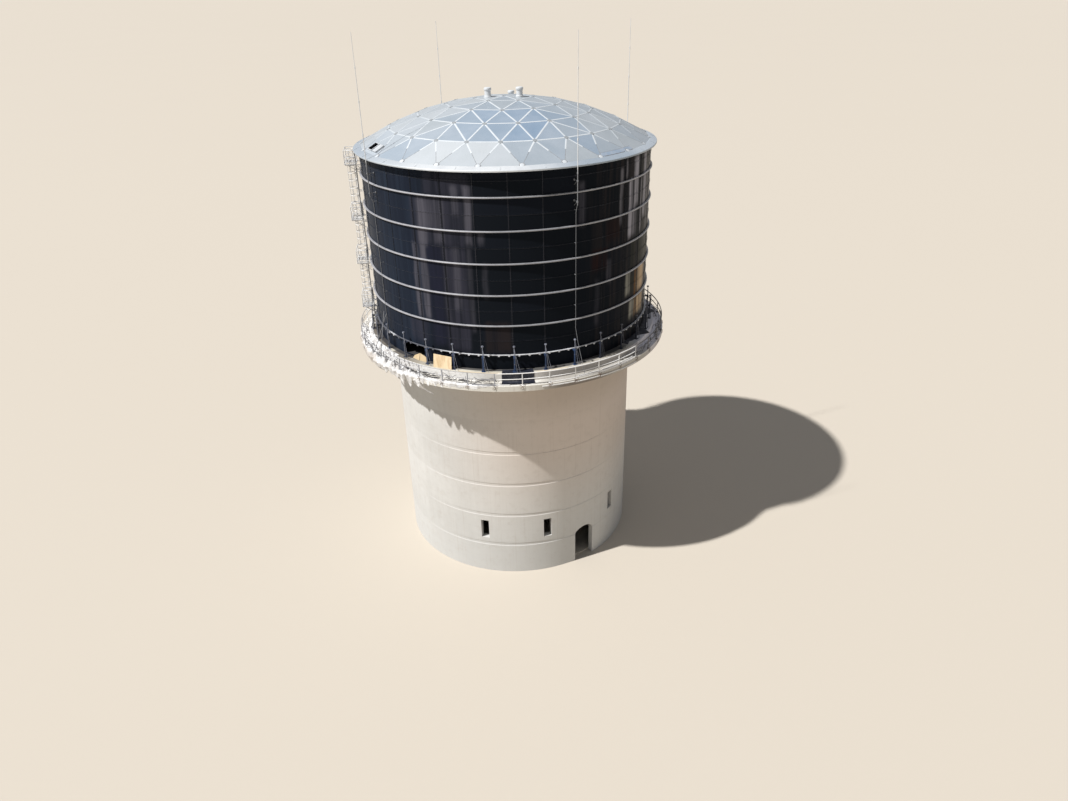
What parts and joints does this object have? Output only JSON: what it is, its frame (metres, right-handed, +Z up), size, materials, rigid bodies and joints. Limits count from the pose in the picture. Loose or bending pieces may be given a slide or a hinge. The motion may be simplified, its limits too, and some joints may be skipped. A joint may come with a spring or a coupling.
{
  "type": "water tower, 1:2 scale model",
  "caption": "Half-scale water tower: round cast concrete pedestal with door and windows, walkway, bolted enamelled steel tank, triangulated dome, caged ladder.",
  "frame": {"origin": "on the tower axis at ground level, under the ground floor", "axes": "+Z up along the tower axis; -Y towards the side with the two front windows; +X to its right, the doorway lies between -Y and +X"},
  "size_m": [13.1, 13.1, 21.625],
  "materials": {
    "concrete": "fair-faced cast concrete with lift joints",
    "screed": "white cement screed",
    "enamel": "glossy blue-black vitreous enamel on steel",
    "galvanised": "dull galvanised steel",
    "aluminium": "mill-finish sheet",
    "jack_paint": "worn blue paint"
  },
  "bodies": {
    "root": {"pedestal_wall_1": "concrete", "pedestal_wall_2": "concrete", "pedestal_wall_3": "concrete", "pedestal_wall_4": "concrete", "pedestal_wall_5": "concrete", "pedestal_wall_6": "concrete", "pedestal_wall_7": "concrete", "pedestal_wall_8": "concrete", "pedestal_wall_9": "concrete", "pedestal_wall_10": "concrete", "door_lintel": "concrete", "ground_floor": "concrete", "deck_slab": "screed", "tank_plinth": "screed", "shell_ring_1": "enamel", "shell_ring_2": "enamel", "shell_ring_3": "enamel", "shell_ring_4": "enamel", "wind_girder_1": "galvanised", "wind_girder_2": "galvanised", "wind_girder_3": "galvanised", "wind_girder_4": "galvanised", "wind_girder_5": "galvanised", "jacking_ring_1": "jack_paint", "jacking_ring_2": "jack_paint", "jacking_ring_3": "jack_paint", "jacking_ring_4": "jack_paint", "handrail_1": "galvanised", "handrail_2": "galvanised", "handrail_3": "galvanised", "handrail_4": "galvanised", "dome_panels": "aluminium", "roof_hatch": "aluminium", "roof_vent_1": "aluminium", "roof_vent_2": "aluminium", "roof_vent_3": "aluminium", "eave_skirt": "aluminium", "ladder_stage_1": "galvanised", "ladder_stage_2": "galvanised", "ladder_stage_3": "galvanised", "ladder_stage_4": "galvanised", "lightning_mast_1": "galvanised", "lightning_mast_2": "galvanised", "lightning_mast_3": "galvanised", "lightning_mast_4": "galvanised"}
  },
  "joints": []
}
